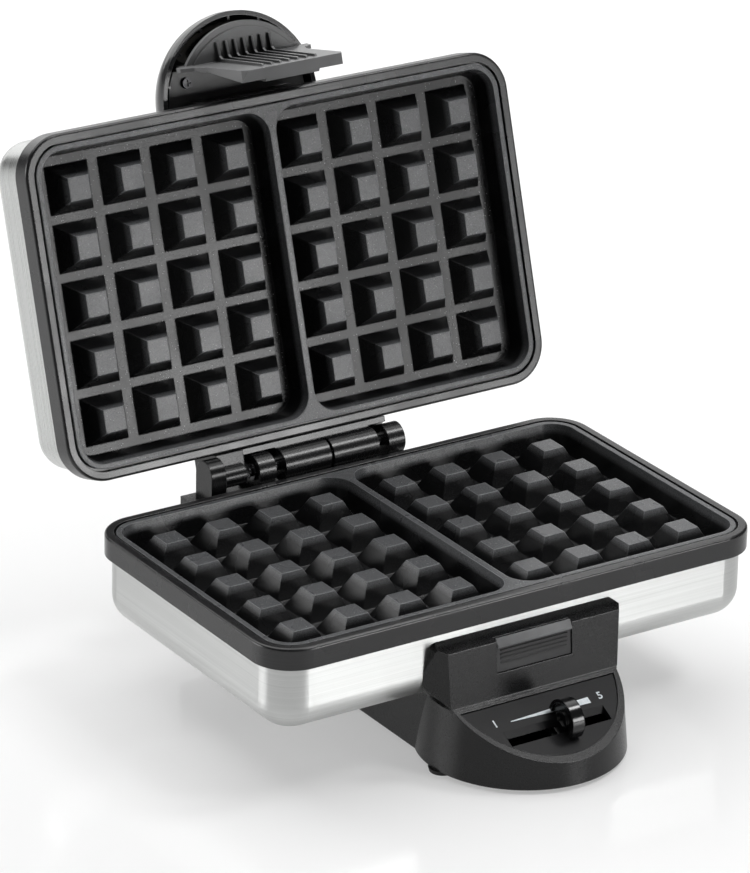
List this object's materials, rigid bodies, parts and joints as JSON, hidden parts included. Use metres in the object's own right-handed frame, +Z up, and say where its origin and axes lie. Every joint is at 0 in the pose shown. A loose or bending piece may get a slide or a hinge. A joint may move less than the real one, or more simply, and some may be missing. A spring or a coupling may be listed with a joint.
{
  "type": "waffle maker",
  "caption": "Electric waffle maker with two hinged, pegged cooking plates in steel shells, standing on a pedestal with a sloped heat-control panel and a front latch.",
  "frame": {"origin": "centre of the bounding box's bottom face, on the surface the feet stand on, with the lid raised", "axes": "+Z up, +X to the user's right along the hinge, -Y towards the user (control panel and handle), +Y towards the hinge and the cord"},
  "size_m": [0.2612, 0.3172, 0.271],
  "materials": {
    "steel": "brushed",
    "black_steel": "satin black",
    "cast": "black non-stick coating with fine sparkle",
    "heater": "dull",
    "sheet": "plain sheet",
    "fastener": "zinc plated",
    "housing": "satin",
    "panel": "fine matte",
    "knob": "satin",
    "rubber": "matte",
    "grey_plastic": "textured grey",
    "spring": "spring steel",
    "ceramic": "ceramic",
    "gloss_black": "gloss",
    "grip": "satin",
    "red_lens": "clear red",
    "green_lens": "clear green"
  },
  "bodies": {
    "base": {"base_shell": "steel", "base_bezel": "black_steel", "lower_plate": "cast", "lower_heater": "heater", "lower_heater_clips": "sheet", "base_reflector": "sheet", "lower_plate_screws": "fastener", "pedestal_housing": "housing", "bottom_cover": "housing", "rubber_feet": "rubber", "cover_screws": "fastener", "control_panel": "panel", "thermostat_body": "ceramic", "thermostat_bracket": "sheet", "latch_spring": "spring", "shell_screws": "fastener", "hinge_bracket": "black_steel", "hinge_pin": "fastener", "pin_clips": "spring", "bracket_screws": "fastener", "cable_guard": "housing", "cord_gland": "rubber", "terminal_block": "ceramic", "thermal_fuse": "ceramic"},
    "lid": {"lid_shell": "steel", "lid_bezel": "black_steel", "upper_plate": "cast", "upper_heater": "heater", "upper_heater_clips": "sheet", "lid_reflector": "sheet", "upper_plate_screws": "fastener", "lid_hinge_arm": "black_steel", "hinge_arm_screws": "fastener", "wire_elbow": "housing", "handle_cap": "gloss_black", "handle_grip": "grip", "handle_screws": "fastener", "power_lens": "red_lens", "ready_lens": "green_lens", "lamp_holder": "ceramic"},
    "slider": {"heat_knob": "knob", "slider_carrier": "knob"},
    "thermostat": {"thermostat_lever": "fastener"},
    "latch": {"latch_catch": "grey_plastic"}
  },
  "joints": [
    {"name": "lid_hinge", "type": "hinge", "parent": "base", "child": "lid", "pos_m": [0.003, 0.05798, 0.0784], "axis": [1, 0, 0], "range_deg": [0, 107]},
    {"name": "heat_slide", "type": "slide", "parent": "base", "child": "slider", "axis": [1, 0, 0], "range_m": [-0.0235, 0.0165]},
    {"name": "thermostat_turn", "type": "hinge", "parent": "base", "child": "thermostat", "pos_m": [0, -0.10916, 0.02935], "axis": [0, -0.4617, 0.887], "range_deg": [-40.8, 28.65]},
    {"name": "latch_slide", "type": "slide", "parent": "base", "child": "latch", "axis": [0, 1, 0], "range_m": [0, 0.0012], "stiffness_N_per_m": 400, "springref_m": -0.002, "deforming": ["latch_spring"]}
  ],
  "couplings": [
    {"joint": "thermostat_turn", "follows": "heat_slide", "rad_per_m": 30.303}
  ]
}
